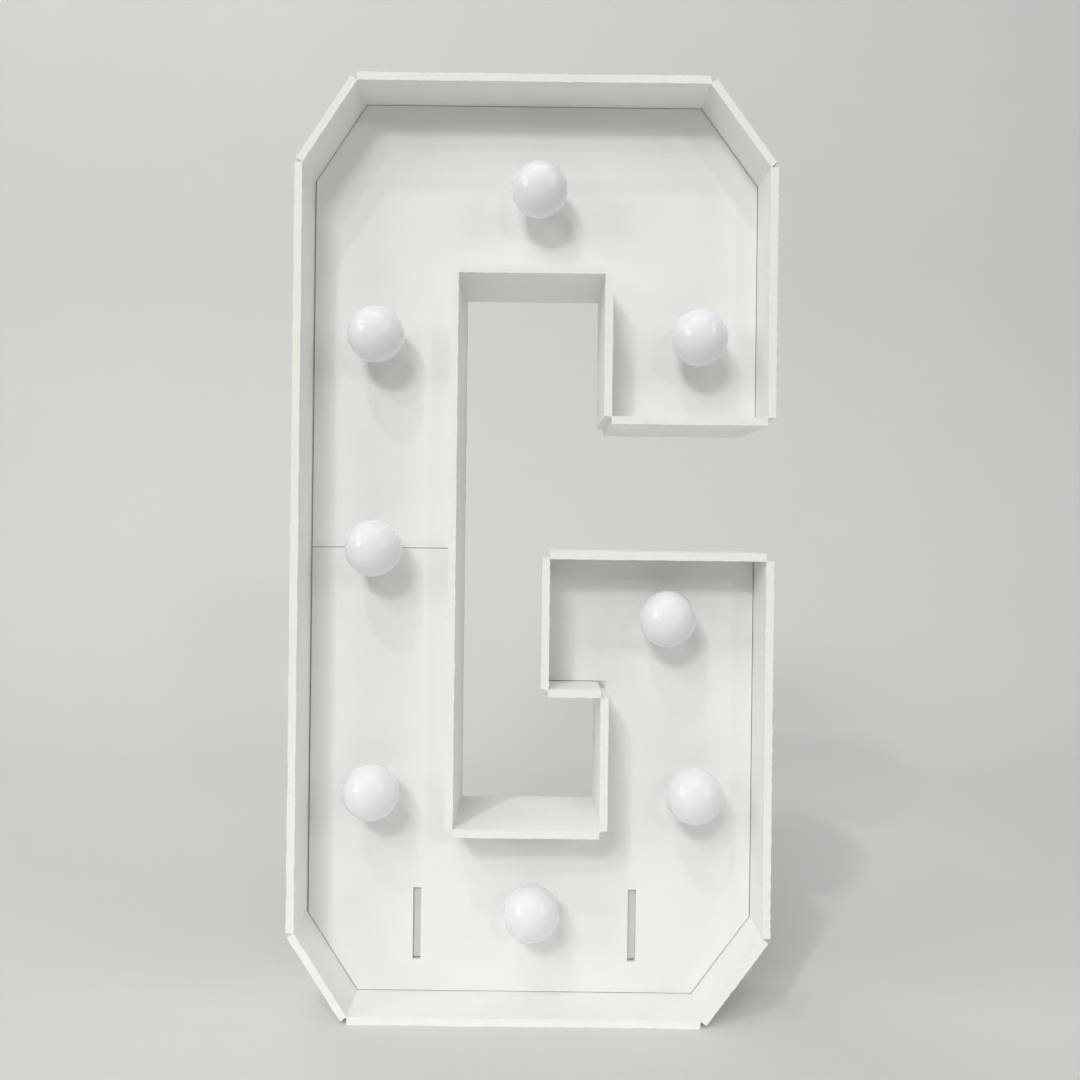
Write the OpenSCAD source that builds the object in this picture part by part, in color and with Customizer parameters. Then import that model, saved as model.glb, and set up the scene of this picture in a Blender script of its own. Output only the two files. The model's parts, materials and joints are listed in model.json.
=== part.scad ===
// Free-standing light-up letter of folded white foam board.
// A two-piece back panel sits at half depth inside six scored and folded wall
// strips. Globe lamps screw into holders behind the panel, two rear feet plug
// into slots near the base, and a battery box with a slide switch is taped in
// the hollow behind the left stroke.
// +X is right, +Y is towards the back and +Z is up. The origin is the middle
// of the underside of the bottom wall. All sizes are in millimetres.

/* [Letter] */
// Width over the outer walls
letter_w = 310; // [300:1:360]
// Height over the outer walls
letter_h = 610; // [590:1:680]
// Depth of the walls from front edge to back edge
letter_d = 90; // [84:1:120]
// Thickness of the foam board
board_t = 5; // [4:0.5:7]
// Height of the corner chamfers
chamfer_h = 53; // [40:1:65]
// Width of the chamfers on the left
chamfer_left_w = 34.5; // [25:0.5:45]
// Width of the chamfers on the right
chamfer_right_w = 39; // [30:0.5:50]
// Width of the left stroke between its walls
stroke_left = 96; // [92:1:110]
// Width of the right stroke between its walls
stroke_right = 100; // [92:1:110]
// Height of the top stroke between its walls
stroke_top = 117.5; // [105:0.5:130]
// Height of the bottom stroke between its walls
stroke_bottom = 115.5; // [110:0.5:130]
// Height of the upper right arm, from the top stroke's wall down
arm_h = 213.5; // [195:0.5:230]
// Drop of the crossbar's top wall below mid-height
bar_drop = 5.5; // [0:0.5:20]
// Height of the crossbar between its walls
bar_h = 83.5; // [70:0.5:95]
// Length that the crossbar reaches into the counter
spur_w = 38.5; // [20:0.5:60]
// Board left uncut at the root of each fold
fold_web = 0.8; // [0.5:0.1:1.5]

/* [Back panel] */
// Depth from the walls' front edges to the panel
panel_setback = 41; // [34:1:48]
// Gap between the panel and the walls
panel_gap = 0.4; // [0.2:0.1:0.8]
// Gap between the panel and the left wall
panel_gap_left = 0.9; // [0.2:0.1:0.9]
// Gap at the seam between the panel's halves
seam_gap = 0.1; // [0.1:0.1:0.8]

/* [Lamp places] */
// Left lamps, measured from the left wall
left_lamp_inset = 46; // [40:1:52]
// Right lamps, measured from the right wall
right_lamp_inset = 42; // [36:1:56]
// Crossbar lamp, measured from the right wall
bar_lamp_inset = 61; // [40:1:80]
// Crossbar lamp, measured down from the crossbar's top wall
bar_lamp_drop = 38.5; // [30:0.5:50]
// Top and bottom lamps, measured from the middle
mid_lamp_x = 2; // [-20:1:20]
// Top lamp, measured down from the top wall
top_lamp_drop = 64; // [45:1:80]
// Upper lamps, measured down from the top wall
upper_lamp_drop = 160; // [135:1:180]
// Lower lamps, measured up from the bottom wall
lower_lamp_rise = 140; // [128:1:146]
// Bottom lamp, measured up from the bottom wall
bottom_lamp_rise = 62; // [45:1:75]

/* [Lamp] */
// Diameter of the globe
globe_d = 37; // [30:0.5:42]
// Wall of the globe
globe_wall = 1; // [0.8:0.1:1.6]
// Straight skirt below the globe's ball
skirt_h = 0.8; // [0.5:0.1:2]
// Diameter of the lamp's neck
neck_d = 20; // [18:0.5:24]
// Height of the neck between the globe and the seal
neck_h = 7; // [5:0.5:12]
// Ledge of the neck that shows round the globe's skirt
neck_ledge = 0.2; // [0.1:0.1:0.8]
// Height of the spigot that centres the globe
spigot_h = 2.4; // [1.5:0.1:4]
// Clearance between the spigot and the globe
spigot_clear = 0.05; // [0.02:0.01:0.1]
// Depth of the groove round the neck
neck_groove_d = 0.35; // [0.2:0.05:0.6]
// Width of the groove's floor
neck_groove_w = 0.6; // [0.4:0.1:1]
// Middle of the groove, measured down from the globe
neck_groove_drop = 3.2; // [2:0.1:3.5]
// Break of the edges of the neck and the holder
edge_break = 0.4; // [0.2:0.1:0.5]
// Diameter of the screw cap
cap_d = 11.9; // [9:0.1:13]
// Length of the screw cap behind the seal
cap_l = 17; // [14:0.5:20]
// Taper at the end of the screw cap
cap_taper = 1.5; // [0.5:0.1:2.5]
// Diameter of the contact tip
tip_d = 4.8; // [3:0.1:6]
// Length of the contact tip
tip_l = 1.5; // [0.8:0.1:2]
// Break of the contact tip's edge
tip_break = 0.6; // [0.2:0.1:0.8]
// Diameter of the light-source board
led_board_d = 14; // [10:0.5:15]
// Thickness of the light-source board
led_board_t = 1; // [0.8:0.1:1.6]
// Side of the light source
led_chip_w = 3; // [2:0.5:5]
// Height of the light source
led_chip_t = 0.7; // [0.4:0.1:1.5]

/* [Seal and holder] */
// Diameter of the seal ring
seal_d = 22; // [19:0.5:25]
// Thickness of the seal ring
seal_t = 1.5; // [1:0.1:2.5]
// Break of the seal ring's edges
seal_break = 0.3; // [0.1:0.1:0.4]
// Clearance between the seal ring and the screw cap
seal_clear = 0.6; // [0.3:0.1:0.8]
// Clearance between the screw cap and the holder
cap_clear = 0.07; // [0.03:0.01:0.1]
// Wall of the holder's snout that passes through the panel
snout_wall = 1.3; // [1:0.1:2]
// Clearance between the snout and the panel
snout_clear = 0.2; // [0.1:0.1:0.4]
// Depth of the snout's rim below the panel's face
snout_recess = 0.2; // [0.1:0.1:0.8]
// Diameter of the holder's flange
flange_d = 26; // [22:0.5:30]
// Thickness of the holder's flange
flange_t = 2; // [1.5:0.1:3]
// Diameter of the holder's body
holder_d = 19; // [18:0.5:22]
// Room between the contact tip and the holder's floor
tip_room = 0.3; // [0.2:0.1:1]
// Thickness of the holder's closed end
holder_floor = 3; // [2:0.5:5]
// Break of the holder's closed end
holder_break = 1; // [0.5:0.1:2]
// Diameter of the wire inlets
gland_d = 5.6; // [4.5:0.1:7]
// Bore of the wire inlets
gland_bore = 2.6; // [1.5:0.1:3.5]
// Reach of the wire inlets past the holder's body
gland_reach = 3.5; // [2:0.5:6]

/* [Feet] */
// Left foot, measured from the left wall
foot_left_inset = 74.5; // [60:0.5:85]
// Right foot, measured from the right wall
foot_right_inset = 80; // [64:0.5:90]
// Height of the slots above the bottom wall
slot_rise = 21; // [15:0.5:30]
// Height of the slots
slot_h = 49; // [35:0.5:55]
// Clearance at each side of a foot's tab in its slot
slot_clear = 0.2; // [0.1:0.1:0.4]
// Clearance above a foot's tab
tab_top_clear = 0.3; // [0.2:0.1:1]
// Clearance below a foot's tab
tab_low_clear = 1.3; // [0.5:0.1:2]
// Depth of a tab's end below the panel's face
tab_recess = 3; // [0.5:0.1:4]
// Clearance between a foot and the boards that it sits on
foot_clear = 0.2; // [0.1:0.1:0.4]
// Height of a foot where it meets the panel
foot_h = 104; // [92:1:120]
// Height of a foot's toe
toe_h = 18; // [12:1:30]
// Reach of a foot behind the walls
foot_reach = 85; // [60:1:120]

/* [Battery box] */
// Depth of the battery box
box_d = 20.5; // [20:0.1:22]
// Wall of the battery box
box_wall = 1.6; // [1.4:0.1:2]
// Radius of the battery box's corners
box_r = 2; // [1:0.1:3]
// Height of the battery box above the lower left holder's flange
box_lift = 13; // [6:1:18]
// Thickness of the mounting tape
tape_t = 1; // [0.5:0.1:1.5]
// Margin of the mounting tape inside the box's outline
tape_margin = 5; // [3:0.5:10]
// Diameter of a cell
cell_d = 14.5; // [14:0.1:14.8]
// Length of a cell over its terminal
cell_l = 50.5; // [49.5:0.1:51]
// Number of cells
cell_count = 3; // [2:1:3]
// Space between neighbouring cells
cell_space = 1; // [0.6:0.1:1.4]
// Clearance between the cells and the box
cell_clear = 0.3; // [0.2:0.1:0.6]
// Break of a cell's edges
cell_break = 0.6; // [0.3:0.1:1]
// Diameter of a cell's terminal
terminal_d = 5.5; // [5:0.1:6]
// Height of a cell's terminal
terminal_h = 1; // [0.8:0.1:1.4]
// Thickness of the contacts
contact_t = 0.5; // [0.3:0.1:0.8]
// Width and height of a contact
contact_w = 9; // [7:0.5:11]
// Spring travel of a leaf contact
leaf_h = 3.5; // [2.5:0.1:5]
// Clearance between the contacts and the cells
contact_clear = 0.1; // [0.05:0.05:0.2]
// Thickness of the sliding cover
cover_t = 1.6; // [1.2:0.1:2]
// Depth of the grooves that hold the cover
groove_w = 0.9; // [0.6:0.1:1]
// Thickness of the lips over the cover
lip_t = 0.8; // [0.6:0.1:1.2]
// Clearance round the cover
cover_clear = 0.15; // [0.1:0.05:0.3]
// Number of grip ribs on the cover
rib_count = 4; // [2:1:6]
// Width of a grip rib
rib_w = 1.2; // [0.8:0.1:1.6]
// Spacing of the grip ribs
rib_pitch = 2.6; // [2:0.1:3.5]
// Length of the grip ribs
rib_l = 22; // [12:1:34]

/* [Switch] */
// Width of the bay beside the cells that holds the switch
switch_bay_w = 9; // [8:0.5:12]
// Depth of the switch body
switch_body_d = 6; // [4:0.5:8]
// Height of the switch body
switch_body_h = 16; // [12:0.5:20]
// Clearance round the switch body and slider
switch_clear = 0.2; // [0.1:0.1:0.4]
// Thickness of the slider below its knob
slider_t = 1.6; // [1:0.1:2.5]
// Height of the slider below its knob
slider_h = 10; // [8:0.5:12]
// Width of the knob
knob_w = 3; // [2:0.1:4]
// Height of the knob
knob_h = 4; // [3:0.1:5]
// Reach of the knob past the box
knob_reach = 2; // [1:0.1:3]
// Travel of the switch
switch_travel = 3; // [2:0.1:4]
// Bore of the box's wire inlet
inlet_bore = 3.2; // [2:0.1:4.5]

/* [Hidden] */
$fn = 72;
// Overlap that lets cuts run past the faces they open
cut = 1;

// Faces of the walls that look at the panel
half_w = letter_w / 2 - board_t;
floor_z = board_t;
roof_z = letter_h - board_t;
counter_l = stroke_left - half_w;
counter_r = half_w - stroke_right;
counter_top = roof_z - stroke_top;
counter_bottom = floor_z + stroke_bottom;
arm_z = roof_z - arm_h;
bar_top = letter_h / 2 - bar_drop;
bar_bottom = bar_top - bar_h;
spur_x = counter_r - spur_w;

// Depths along Y
front_y = -letter_d / 2;
back_y = letter_d / 2;
panel_y = front_y + panel_setback;
panel_back_y = panel_y + board_t;
seam_z = letter_h / 2;

// Corners of the letter on the walls' panel side, clockwise from the top left
OUTLINE = [
    [chamfer_left_w - half_w, roof_z],
    [half_w - chamfer_right_w, roof_z],
    [half_w, roof_z - chamfer_h],
    [half_w, arm_z],
    [counter_r, arm_z],
    [counter_r, counter_top],
    [counter_l, counter_top],
    [counter_l, counter_bottom],
    [counter_r, counter_bottom],
    [counter_r, bar_bottom],
    [spur_x, bar_bottom],
    [spur_x, bar_top],
    [half_w, bar_top],
    [half_w, floor_z + chamfer_h],
    [half_w - chamfer_right_w, floor_z],
    [chamfer_left_w - half_w, floor_z],
    [-half_w, floor_z + chamfer_h],
    [-half_w, roof_z - chamfer_h]
];
LEFT_SIDE = len(OUTLINE) - 2;
UPPER_CORNERS = [17, 0, 1, 2, 3, 4, 5, 6];
LOWER_CORNERS = [7, 8, 9, 10, 11, 12, 13, 14, 15, 16];

// Lamp centres as [x, z]
LAMPS = [
    [mid_lamp_x, roof_z - top_lamp_drop],
    [left_lamp_inset - half_w, roof_z - upper_lamp_drop],
    [half_w - right_lamp_inset, roof_z - upper_lamp_drop],
    [left_lamp_inset - half_w, seam_z],
    [half_w - bar_lamp_inset, bar_top - bar_lamp_drop],
    [left_lamp_inset - half_w, floor_z + lower_lamp_rise],
    [half_w - right_lamp_inset, floor_z + lower_lamp_rise],
    [mid_lamp_x, floor_z + bottom_lamp_rise]
];
LAST_LAMP = len(LAMPS) - 1;

// Lamp sizes, measured forward from the panel's face
globe_r = globe_d / 2;
skirt_r = neck_d / 2 - neck_ledge;
neck_top = seal_t + neck_h;
globe_z = neck_top + skirt_h + sqrt(globe_r * globe_r - skirt_r * skirt_r);
spigot_r = skirt_r - globe_wall - spigot_clear;
snout_r = cap_d / 2 + cap_clear + snout_wall;
holder_bore_end = cap_l + tip_l + tip_room;
holder_end = holder_bore_end + holder_floor;
gland_z = holder_bore_end - gland_d / 2;

// Feet
FOOT_LEFT_X = foot_left_inset - half_w;
FOOT_RIGHT_X = half_w - foot_right_inset;
slot_z = floor_z + slot_rise;

// Battery box, with its corner nearest the panel, the left wall and the floor
bay_w = cell_l + leaf_h + 2 * contact_t + 2 * contact_clear;
bay_h = cell_count * cell_d + (cell_count - 1) * cell_space + 2 * cell_clear;
box_w = bay_w + switch_bay_w + 3 * box_wall;
box_h = bay_h + 2 * box_wall;
box_x = (counter_l - half_w - box_w) / 2;
box_y = panel_back_y + tape_t;
box_z = floor_z + lower_lamp_rise + flange_d / 2 + box_lift;
cell_y = box_wall + cell_clear + cell_d / 2;
cell_pitch = cell_d + cell_space;
cover_y = box_d - lip_t - cover_clear - cover_t;
cover_h = box_h - box_wall - cover_clear;
switch_x = box_wall + bay_w + box_wall;
switch_z = (box_h - switch_body_h) / 2;
slider_y = box_d - box_wall - switch_clear - slider_t;
switch_y = slider_y - switch_clear - switch_body_d;
slot_h_switch = knob_h + switch_travel + 2 * switch_clear;

// Wall strips in their order round the outline, with the straight lengths of each
STRIPS = [
    ["wall_strip_top", 3],
    ["wall_strip_arm", 3],
    ["wall_strip_counter", 3],
    ["wall_strip_bar", 4],
    ["wall_strip_base", 3],
    ["wall_strip_left", 2]
];
LAST_STRIP = len(STRIPS) - 1;

// Corner and side numbers run round the outline and start again at its end
function wrap(i) = (i + len(OUTLINE)) % len(OUTLINE);

function side_vector(i) = OUTLINE[wrap(i + 1)] - OUTLINE[wrap(i)];

function along(i) = side_vector(i) / norm(side_vector(i));

function outward(i) = [-along(i)[1], along(i)[0]];

function is_convex(i) = cross(along(i - 1), along(i)) < 0;

// First and last side of a strip, which starts where the one before it ends
function first_side(k) = k == 0 ? 0 : last_side(k - 1) + 1;

function last_side(k) = first_side(k) + STRIPS[k][1] - 1;

// Shift of corner i when the side before it moves out by a and the side after by b
function corner_shift(i, a, b) =
    let (m = outward(i - 1), n = outward(i))
    [a * n[1] - b * m[1], b * m[0] - a * n[0]] / cross(m, n);

// Line that two wall lengths fold about, on the hollow side of the corner
function fold_point(i) =
    OUTLINE[wrap(i)] + (is_convex(i) ? [0, 0] : corner_shift(i, board_t, board_t));

// Ends of a wall length on its panel side, cut square at the folds
function square_off(i, p) = OUTLINE[i] + ((p - OUTLINE[i]) * along(i)) * along(i);

function wall_start(i) = square_off(i, fold_point(i));

function wall_end(i) = square_off(i, fold_point(i + 1));

// Open notch on the other side of a fold, with the uncut web at its root
function notch(i) =
    let (side = is_convex(i) ? 1 : -1)
    let (root = fold_point(i), m = side * outward(i - 1), n = side * outward(i))
    [
        root + board_t * m,
        root + fold_web * m,
        root + corner_shift(i, side * fold_web, side * fold_web),
        root + fold_web * n,
        root + board_t * n
    ];

// Course of a strip's two faces round the fold at corner i
function panel_turn(i) = is_convex(i) ? [fold_point(i)] : notch(i);

function outer_turn(i) = is_convex(i) ? notch(i) : [fold_point(i)];

function reversed(points) = [for (k = [len(points) - 1:-1:0]) points[k]];

function gap_at(i) = wrap(i) == LEFT_SIDE ? panel_gap_left : panel_gap;

function panel_corner(i) = OUTLINE[i] + corner_shift(i, -gap_at(i - 1), -gap_at(i));

// Stands a flat drawing up in the XZ plane, with its back face at y
module upright(y, depth) {
    translate([0, y, 0])
        rotate([90, 0, 0])
            linear_extrude(depth)
                children();
}

// Folded strip from side first to side last, with one straight length on each side
module wall_strip(first, last) {
    folds = [first + 1:last];
    panel_side = [wall_start(first), for (i = folds) each panel_turn(i), wall_end(last)];
    outer_side = [
        wall_start(first) + board_t * outward(first),
        for (i = folds) each outer_turn(i),
        wall_end(last) + board_t * outward(last)
    ];
    color("white")
        upright(back_y, letter_d)
            polygon(concat(panel_side, reversed(outer_side)));
}

// Turns a half profile of [radius, height] points about Z
module turned(points) {
    rotate_extrude()
        polygon(points);
}

// Places its children on a lamp's axis, with +Z forward from the panel's face
module at_lamp(i) {
    translate([LAMPS[i][0], panel_y, LAMPS[i][1]])
        rotate([90, 0, 0])
            children();
}

module lamp_holes() {
    for (i = [0:LAST_LAMP])
        at_lamp(i)
            translate([0, 0, -board_t - cut])
                cylinder(r = snout_r + snout_clear, h = board_t + 2 * cut);
}

module foot_slots() {
    slot_w = board_t + 2 * slot_clear;
    for (x = [FOOT_LEFT_X, FOOT_RIGHT_X])
        translate([x - slot_w / 2, panel_y - cut, slot_z])
            cube([slot_w, board_t + 2 * cut, slot_h]);
}

module back_panel(corners, seam_edge) {
    outline = [for (i = corners) panel_corner(i)];
    color("white")
        difference() {
            upright(panel_back_y, board_t)
                polygon(concat(outline, seam_edge));
            lamp_holes();
            foot_slots();
        }
}

module back_panel_upper() {
    z = seam_z + seam_gap / 2;
    back_panel(UPPER_CORNERS, [[counter_l - panel_gap, z], [panel_gap_left - half_w, z]]);
}

module back_panel_lower() {
    z = seam_z - seam_gap / 2;
    back_panel(LOWER_CORNERS, [[panel_gap_left - half_w, z], [counter_l - panel_gap, z]]);
}

// Gusset of board: a tab in the panel's slot, a step over the bottom wall and a toe
module stand_foot(x) {
    seat_y = panel_back_y + foot_clear;
    step_y = back_y + foot_clear;
    step_z = floor_z + foot_clear;
    tab_low = slot_z + tab_low_clear;
    tab_top = slot_z + slot_h - tab_top_clear;
    color("white")
        translate([x - board_t / 2, 0, 0])
            rotate([90, 0, 90])
                linear_extrude(board_t)
                    polygon([
                        [seat_y, step_z],
                        [seat_y, tab_low],
                        [panel_y + tab_recess, tab_low],
                        [panel_y + tab_recess, tab_top],
                        [seat_y, tab_top],
                        [seat_y, foot_h],
                        [back_y + foot_reach, toe_h],
                        [back_y + foot_reach, 0],
                        [step_y, 0],
                        [step_y, step_z]
                    ]);
}

// Opal ball with a short skirt that stands on the neck
module globe(i) {
    inner_r = globe_r - globe_wall;
    color("ghostwhite")
        at_lamp(i)
            difference() {
                union() {
                    translate([0, 0, globe_z])
                        sphere(globe_r);
                    translate([0, 0, neck_top])
                        cylinder(r = skirt_r, h = 2 * skirt_h);
                }
                translate([0, 0, globe_z])
                    sphere(inner_r);
                translate([0, 0, neck_top - cut - globe_wall - skirt_h])
                    cylinder(r = skirt_r - globe_wall, h = globe_z - neck_top);
            }
}

module led_board(i) {
    seat = neck_top + spigot_h;
    color("gold")
        at_lamp(i) {
            translate([0, 0, seat])
                cylinder(d = led_board_d, h = led_board_t);
            translate([-led_chip_w / 2, -led_chip_w / 2, seat + led_board_t])
                cube([led_chip_w, led_chip_w, led_chip_t]);
        }
}

// Neck with the spigot for the globe in front and the screw cap behind
module bulb_base(i) {
    neck_r = neck_d / 2;
    cap_r = cap_d / 2;
    tip_r = tip_d / 2;
    tip_z = -cap_l - tip_l;
    spigot_z = neck_top + spigot_h;
    groove_r = neck_r - neck_groove_d;
    groove_top = neck_top - neck_groove_drop + neck_groove_w / 2;
    groove_low = groove_top - neck_groove_w;
    color("whitesmoke")
        at_lamp(i)
            turned([
                [0, tip_z],
                [tip_r - tip_break, tip_z],
                [tip_r, tip_z + tip_break],
                [tip_r, -cap_l],
                [cap_r - cap_taper, -cap_l],
                [cap_r, cap_taper - cap_l],
                [cap_r, seal_t],
                [neck_r - edge_break, seal_t],
                [neck_r, seal_t + edge_break],
                [neck_r, groove_low - neck_groove_d],
                [groove_r, groove_low],
                [groove_r, groove_top],
                [neck_r, groove_top + neck_groove_d],
                [neck_r, neck_top - edge_break],
                [neck_r - edge_break, neck_top],
                [spigot_r, neck_top],
                [spigot_r, spigot_z - edge_break],
                [spigot_r - edge_break, spigot_z],
                [0, spigot_z]
            ]);
}

module seal_ring(i) {
    inner_r = cap_d / 2 + seal_clear;
    outer_r = seal_d / 2;
    color("gainsboro")
        at_lamp(i)
            turned([
                [inner_r, seal_break],
                [inner_r + seal_break, 0],
                [outer_r - seal_break, 0],
                [outer_r, seal_break],
                [outer_r, seal_t - seal_break],
                [outer_r - seal_break, seal_t],
                [inner_r + seal_break, seal_t],
                [inner_r, seal_t - seal_break]
            ]);
}

// Snout through the panel, flange behind it and a closed body with wire inlets
module lamp_holder(i) {
    bore_r = cap_d / 2 + cap_clear;
    body_r = holder_d / 2;
    flange_r = flange_d / 2;
    flange_z = -board_t - flange_t;
    gland_r = gland_d / 2;
    gland_l = body_r + gland_reach;
    color("white")
        at_lamp(i)
            difference() {
                union() {
                    turned([
                        [0, -holder_end],
                        [body_r - holder_break, -holder_end],
                        [body_r, holder_break - holder_end],
                        [body_r, flange_z - edge_break],
                        [body_r + edge_break, flange_z],
                        [flange_r - edge_break, flange_z],
                        [flange_r, flange_z + edge_break],
                        [flange_r, -board_t - edge_break],
                        [flange_r - edge_break, -board_t],
                        [snout_r, -board_t],
                        [snout_r, -snout_recess - edge_break],
                        [snout_r - edge_break, -snout_recess],
                        [0, -snout_recess]
                    ]);
                    translate([-gland_l, 0, -gland_z])
                        rotate([0, 90, 0])
                            turned([
                                [0, 0],
                                [gland_r - edge_break, 0],
                                [gland_r, edge_break],
                                [gland_r, 2 * gland_l - edge_break],
                                [gland_r - edge_break, 2 * gland_l],
                                [0, 2 * gland_l]
                            ]);
                }
                translate([0, 0, -holder_bore_end])
                    cylinder(r = bore_r, h = holder_bore_end + cut);
                translate([-gland_l - cut, 0, -gland_z])
                    rotate([0, 90, 0])
                        cylinder(d = gland_bore, h = 2 * (gland_l + cut));
            }
}

// Places its children at the battery box's corner
module at_box() {
    translate([box_x, box_y, box_z])
        children();
}

// Outer form of the battery box, with rounded corners in the view from behind
module rounded_block() {
    translate([0, box_d, 0])
        rotate([90, 0, 0])
            linear_extrude(box_d) {
                translate([box_r, 0])
                    square([box_w - 2 * box_r, box_h]);
                translate([0, box_r])
                    square([box_w, box_h - 2 * box_r]);
                for (x = [box_r, box_w - box_r], z = [box_r, box_h - box_r])
                    translate([x, z])
                        circle(r = box_r);
            }
}

// Tray with a bay for the cells, grooves for the cover and a bay for the switch
module battery_box() {
    color("white")
        at_box()
            difference() {
                rounded_block();
                translate([box_wall, box_wall, box_wall])
                    cube([bay_w, box_d, bay_h]);
                translate([box_wall - groove_w, cover_y - cover_clear, box_wall])
                    cube([bay_w + 2 * groove_w, cover_t + 2 * cover_clear, box_h]);
                translate([box_wall, cover_y, box_wall])
                    cube([bay_w, box_d, box_h]);
                switch_bay();
            }
}

// Closed bay with a shelf under the switch, a slot for the knob and a wire inlet
module switch_bay() {
    slot_w = knob_w + 2 * switch_clear;
    middle_x = switch_x + switch_bay_w / 2;
    difference() {
        translate([switch_x, box_wall, box_wall])
            cube([switch_bay_w, box_d - 2 * box_wall, bay_h]);
        translate([switch_x - cut, 0, switch_z])
            cube([switch_bay_w + 2 * cut, switch_y, switch_body_h]);
    }
    translate([middle_x - slot_w / 2, box_d - box_wall - cut, (box_h - slot_h_switch) / 2])
        cube([slot_w, box_wall + 2 * cut, slot_h_switch]);
    translate([middle_x, box_d / 2, -cut])
        cylinder(d = inlet_bore, h = box_wall + 2 * cut);
}

// Sliding lid with grip ribs
module battery_cover() {
    cover_w = bay_w + 2 * groove_w - 2 * cover_clear;
    color("white")
        at_box() {
            translate([box_wall - groove_w + cover_clear, cover_y, box_wall + cover_clear])
                cube([cover_w, cover_t, cover_h]);
            for (k = [0:rib_count - 1])
                translate([
                    box_wall + (bay_w - rib_l) / 2,
                    cover_y + cover_t,
                    box_h - box_wall - rib_w - k * rib_pitch
                ])
                    cube([rib_l, lip_t, rib_w]);
        }
}

// Places its children on the axis of cell k, with +Z towards its terminal
module at_cell(k) {
    flipped = k % 2 == 1;
    z = box_wall + cell_clear + cell_d / 2 + k * cell_pitch;
    at_box()
        translate([box_wall + (flipped ? 0 : bay_w), cell_y, z])
            rotate([0, flipped ? -90 : 90, 0])
                translate([0, 0, -contact_t - contact_clear])
                    children();
}

module battery_cells() {
    cell_r = cell_d / 2;
    terminal_r = terminal_d / 2;
    color("dimgray")
        for (k = [0:cell_count - 1])
            at_cell(k)
                turned([
                    [0, -cell_l],
                    [cell_r - cell_break, -cell_l],
                    [cell_r, cell_break - cell_l],
                    [cell_r, -terminal_h - cell_break],
                    [cell_r - cell_break, -terminal_h],
                    [terminal_r, -terminal_h],
                    [terminal_r, 0],
                    [0, 0]
                ]);
}

// Flat contact at each cell's terminal and sprung leaf at its other end
module battery_contacts() {
    leaf_z = -cell_l - contact_clear;
    half = contact_w / 2;
    color("silver")
        for (k = [0:cell_count - 1])
            at_cell(k) {
                translate([-half, -half, contact_clear])
                    cube([contact_w, contact_w, contact_t]);
                translate([-half, -half, leaf_z - leaf_h - contact_t])
                    cube([contact_w, contact_w, contact_t]);
                rotate([90, 0, 0])
                    translate([0, leaf_z - leaf_h, -half / 2])
                        linear_extrude(half)
                            polygon([
                                [-half, 0],
                                [0, leaf_h],
                                [half, 0],
                                [half - contact_t, 0],
                                [0, leaf_h - contact_t],
                                [contact_t - half, 0]
                            ]);
            }
}

module mounting_tape() {
    color("lightgray")
        at_box()
            translate([tape_margin, -tape_t, tape_margin])
                cube([box_w - 2 * tape_margin, tape_t, box_h - 2 * tape_margin]);
}

module switch_body() {
    color("dimgray")
        at_box()
            translate([switch_x + switch_clear, switch_y, switch_z])
                cube([switch_bay_w - 2 * switch_clear, switch_body_d, switch_body_h]);
}

// Slider in its lower position, with the knob standing out of the box
module switch_slider() {
    middle_x = switch_x + switch_bay_w / 2;
    low_z = (box_h - slot_h_switch) / 2 + switch_clear;
    slider_w = switch_bay_w - 4 * switch_clear;
    color("black")
        at_box() {
            translate([middle_x - slider_w / 2, slider_y, low_z + (knob_h - slider_h) / 2])
                cube([slider_w, slider_t, slider_h]);
            translate([middle_x - knob_w / 2, slider_y, low_z])
                cube([knob_w, box_d + knob_reach - slider_y, knob_h]);
        }
}

back_panel_upper();
back_panel_lower();
for (k = [0:LAST_STRIP])
    wall_strip(first_side(k), last_side(k));
stand_foot(FOOT_LEFT_X);  // stand_foot_left
stand_foot(FOOT_RIGHT_X);  // stand_foot_right
for (i = [0:LAST_LAMP]) {
    globe(i);
    led_board(i);
    bulb_base(i);
    seal_ring(i);
    lamp_holder(i);
}
battery_box();
battery_cover();
battery_cells();
battery_contacts();
mounting_tape();
switch_body();
switch_slider();
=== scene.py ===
"""Looks of the free-standing light-up letter:
folded white board, opal globe lamps and the parts behind the panel."""
import json
import math

import bpy
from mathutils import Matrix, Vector

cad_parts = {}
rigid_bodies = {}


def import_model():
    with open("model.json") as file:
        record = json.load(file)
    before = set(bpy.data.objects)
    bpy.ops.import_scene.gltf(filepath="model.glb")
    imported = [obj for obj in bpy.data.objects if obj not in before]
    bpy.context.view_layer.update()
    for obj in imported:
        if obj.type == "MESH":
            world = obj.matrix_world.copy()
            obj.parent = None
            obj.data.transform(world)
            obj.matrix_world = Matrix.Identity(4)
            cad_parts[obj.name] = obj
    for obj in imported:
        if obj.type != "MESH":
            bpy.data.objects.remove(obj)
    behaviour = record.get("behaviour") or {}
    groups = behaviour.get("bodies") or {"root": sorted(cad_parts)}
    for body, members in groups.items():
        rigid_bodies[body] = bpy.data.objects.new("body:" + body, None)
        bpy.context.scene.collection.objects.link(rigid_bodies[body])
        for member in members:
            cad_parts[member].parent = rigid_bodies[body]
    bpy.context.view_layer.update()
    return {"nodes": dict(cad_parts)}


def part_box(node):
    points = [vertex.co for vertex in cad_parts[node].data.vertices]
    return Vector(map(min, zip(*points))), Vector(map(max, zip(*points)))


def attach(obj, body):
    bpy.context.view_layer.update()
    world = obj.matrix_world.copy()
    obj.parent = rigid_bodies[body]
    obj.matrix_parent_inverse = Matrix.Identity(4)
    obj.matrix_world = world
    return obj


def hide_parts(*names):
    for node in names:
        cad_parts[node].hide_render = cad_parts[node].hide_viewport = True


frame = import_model()
scene = bpy.context.scene

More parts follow.
